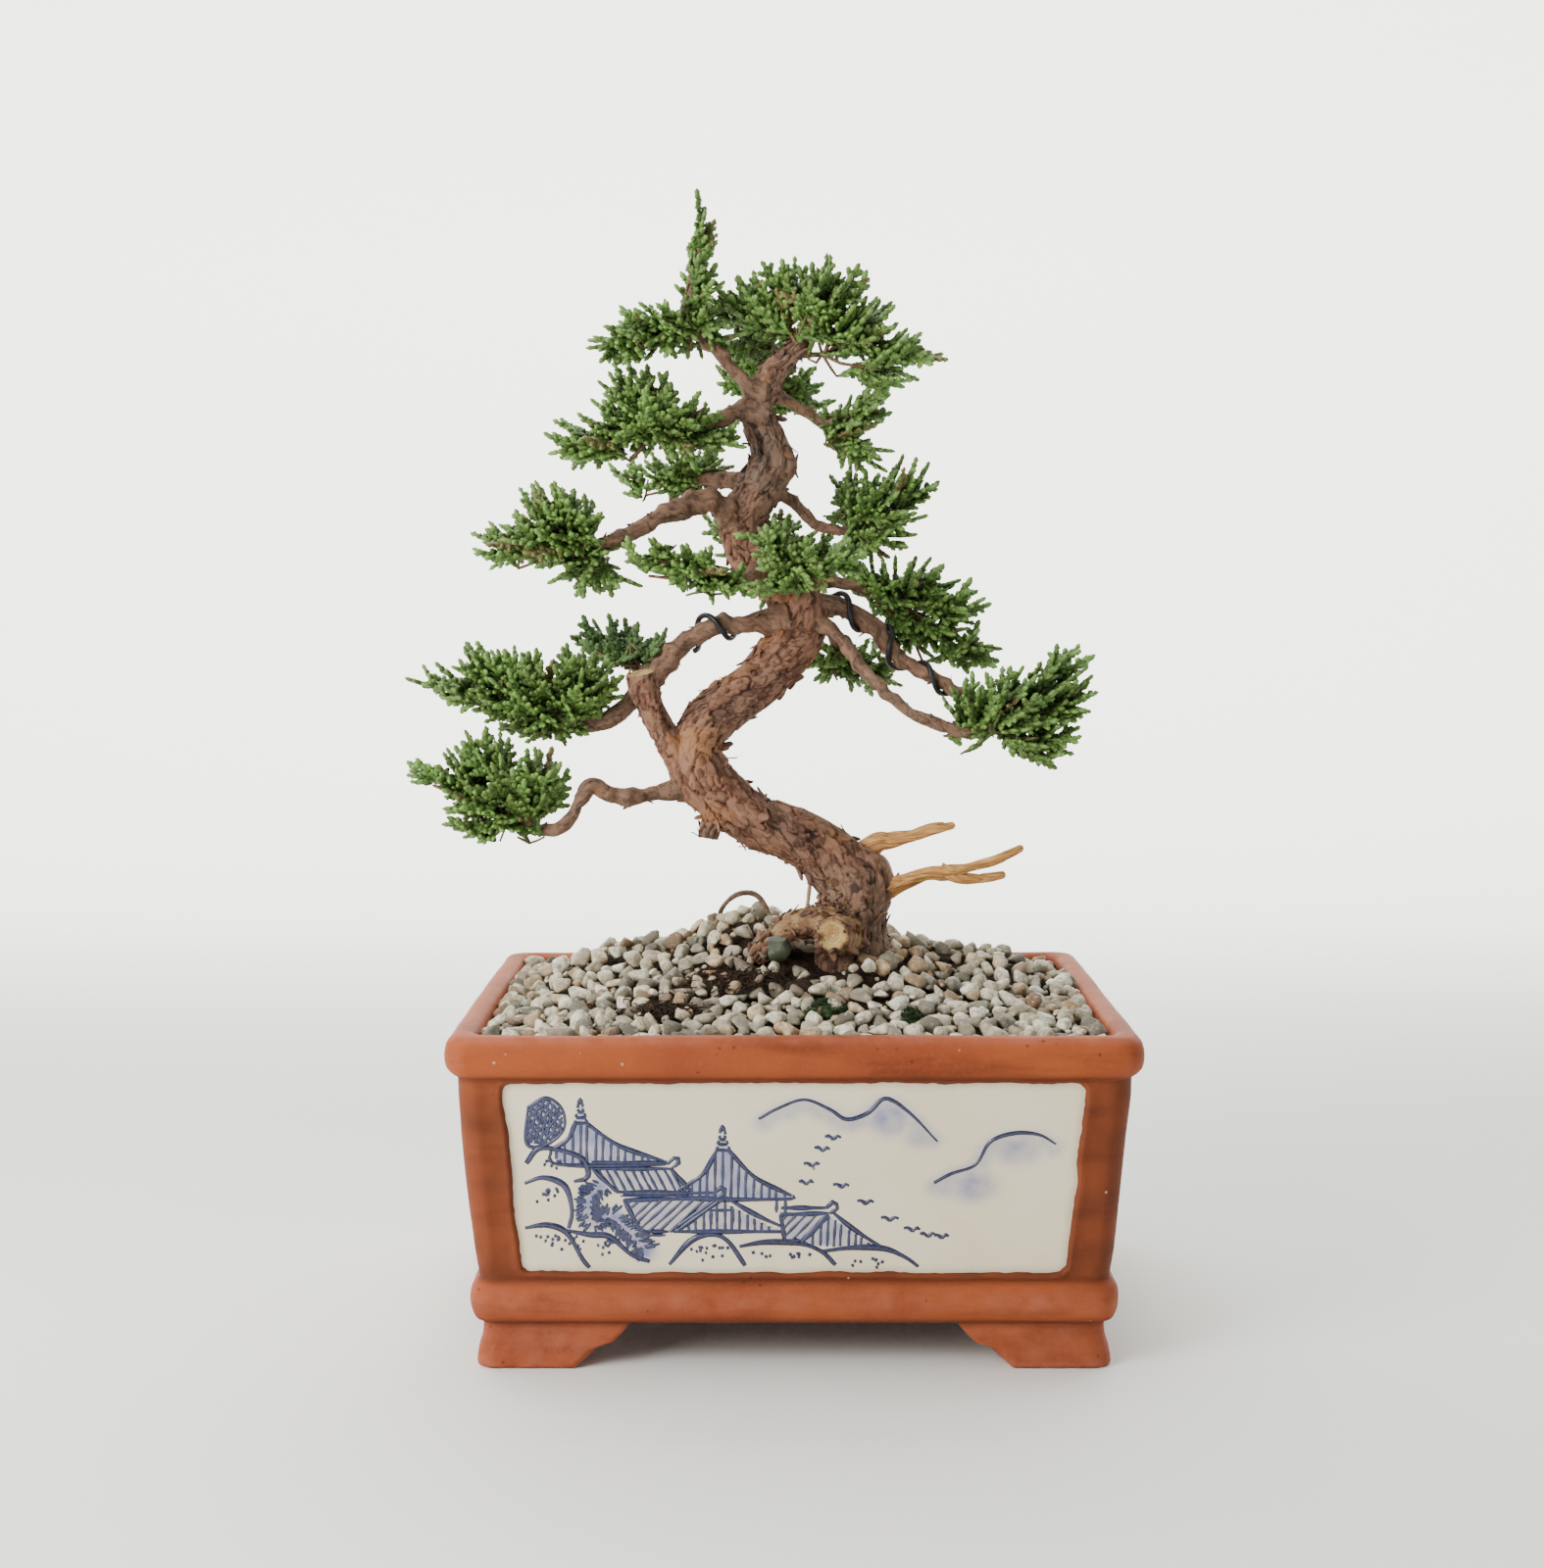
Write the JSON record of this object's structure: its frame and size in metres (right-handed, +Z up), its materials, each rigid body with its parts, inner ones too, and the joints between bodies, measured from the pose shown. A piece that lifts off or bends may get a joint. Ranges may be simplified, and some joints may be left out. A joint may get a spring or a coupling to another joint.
{
  "type": "bonsai tree in a pot",
  "caption": "A small juniper bonsai with a bending reddish trunk, bare dead wood and layered green foliage pads, in a footed rectangular terracotta pot with glazed painted panels and gravel.",
  "frame": {"origin": "middle of the bounding box's underside, on the surface that the four feet stand on", "axes": "+Z up along the tree's height; +X to the right as seen from the front; +Y to the back, so the painted front panel faces -Y"},
  "size_m": [0.2118, 0.15, 0.3437],
  "materials": {
    "terracotta": "unglazed burnished red clay with a soft sheen",
    "glazed_panel": "cream white gloss glaze with blue brush painting",
    "drain_mesh": "black plastic mesh over the drain holes",
    "potting_soil": "dark coarse baked clay and bark potting mix",
    "top_gravel": "loose rounded grey, cream and tan pebbles",
    "dark_stone": "matte dark green grey stone",
    "moss": "soft matte green moss",
    "bark": "flaky reddish brown juniper bark",
    "dead_wood": "bare bleached wood with long fibres",
    "dry_stem": "thin dry straw coloured stem",
    "foliage": "dense sprays of scale leaves, bright at the tips",
    "training_wire": "black anodised soft training wire"
  },
  "bodies": {
    "root": {"pot": "terracotta", "panel_front": "glazed_panel", "panel_back": "glazed_panel", "panel_left": "glazed_panel", "panel_right": "glazed_panel", "drain_screen_left": "drain_mesh", "drain_screen_right": "drain_mesh", "soil": "potting_soil", "gravel": "top_gravel", "dark_stone": "dark_stone", "moss_front": "moss", "moss_right": "moss", "arching_root": "bark", "grass_stem": "dry_stem", "trunk": "bark", "root_burl": "bark", "cut_stub_left": "bark", "foliage_back_high": "foliage", "foliage_back_mid": "foliage", "foliage_crown": "foliage", "foliage_crown_left": "foliage", "foliage_crown_right": "foliage", "foliage_front": "foliage", "foliage_front_left": "foliage", "foliage_inner_left": "foliage", "foliage_left": "foliage", "foliage_left_back": "foliage", "foliage_low_left": "foliage", "foliage_mid_left": "foliage", "foliage_right": "foliage", "foliage_right_high": "foliage", "foliage_right_inner": "foliage", "foliage_right_mid": "foliage", "foliage_right_upper": "foliage", "foliage_upper_left": "foliage", "jin_fork": "dead_wood", "jin_lower": "dead_wood", "jin_upper": "dead_wood", "limb_back_high": "bark", "limb_back_low": "bark", "limb_back_mid": "bark", "limb_crown_left": "bark", "limb_front": "bark", "limb_front_left": "bark", "limb_inner_left": "bark", "limb_left": "bark", "limb_low_left": "bark", "limb_mid_left": "bark", "limb_right_high": "bark", "limb_right_low": "bark", "limb_right_mid": "bark", "limb_right_upper": "bark", "limb_right_wired": "bark", "limb_upper_left": "bark", "training_wire_left": "training_wire", "training_wire_right": "training_wire"}
  },
  "joints": []
}
